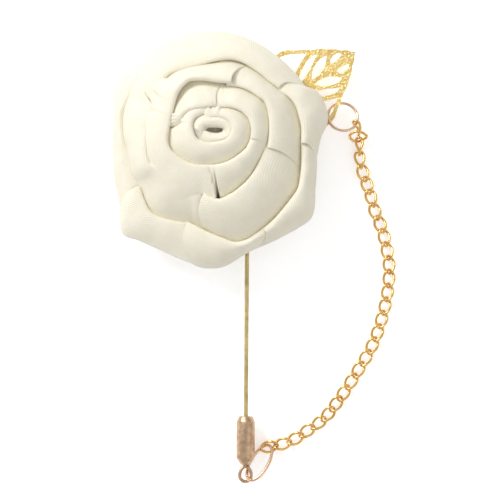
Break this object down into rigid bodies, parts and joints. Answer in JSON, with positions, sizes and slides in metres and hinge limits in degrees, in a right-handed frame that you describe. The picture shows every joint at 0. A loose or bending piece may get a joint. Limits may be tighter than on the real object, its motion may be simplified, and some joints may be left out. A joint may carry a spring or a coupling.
{
  "type": "ribbon rose boutonniere pin",
  "caption": "Ivory folded-ribbon rose boutonniere on a stick pin, with a gold filigree leaf, a curb chain and a push-on pin cap.",
  "frame": {"origin": "middle of the felt backing's flat underside, which rests on the surface", "axes": "+Z out of the front of the rose, -Y along the pin towards the cap, +X towards the leaf and chain"},
  "size_m": [0.0661, 0.1053, 0.0196],
  "materials": {
    "ribbon": "fine ribbed satin ribbon",
    "felt": "matte felt",
    "pin_brass": "dull drawn wire",
    "leaf_gold": "grainy stamped, bright",
    "chain_gold": "bright yellow plate",
    "rose_gold": "copper-toned plate, softly brushed",
    "nylon": "natural nylon"
  },
  "bodies": {
    "root": {"ribbon_rose": "ribbon", "felt_backing": "felt", "pin_pad": "pin_brass", "pin_stem": "pin_brass", "leaf": "leaf_gold", "upper_jump_ring": "rose_gold", "lower_jump_ring": "rose_gold", "cap_barrel": "rose_gold", "cap_eye": "rose_gold", "cap_grip": "nylon", "chain_link_01": "chain_gold", "chain_link_02": "chain_gold", "chain_link_03": "chain_gold", "chain_link_04": "chain_gold", "chain_link_05": "chain_gold", "chain_link_06": "chain_gold", "chain_link_07": "chain_gold", "chain_link_08": "chain_gold", "chain_link_09": "chain_gold", "chain_link_10": "chain_gold", "chain_link_11": "chain_gold", "chain_link_12": "chain_gold", "chain_link_13": "chain_gold", "chain_link_14": "chain_gold", "chain_link_15": "chain_gold", "chain_link_16": "chain_gold", "chain_link_17": "chain_gold", "chain_link_18": "chain_gold", "chain_link_19": "chain_gold", "chain_link_20": "chain_gold", "chain_link_21": "chain_gold", "chain_link_22": "chain_gold", "chain_link_23": "chain_gold", "chain_link_24": "chain_gold", "chain_link_25": "chain_gold", "chain_link_26": "chain_gold", "chain_link_27": "chain_gold", "chain_link_28": "chain_gold", "chain_link_29": "chain_gold"}
  },
  "joints": []
}
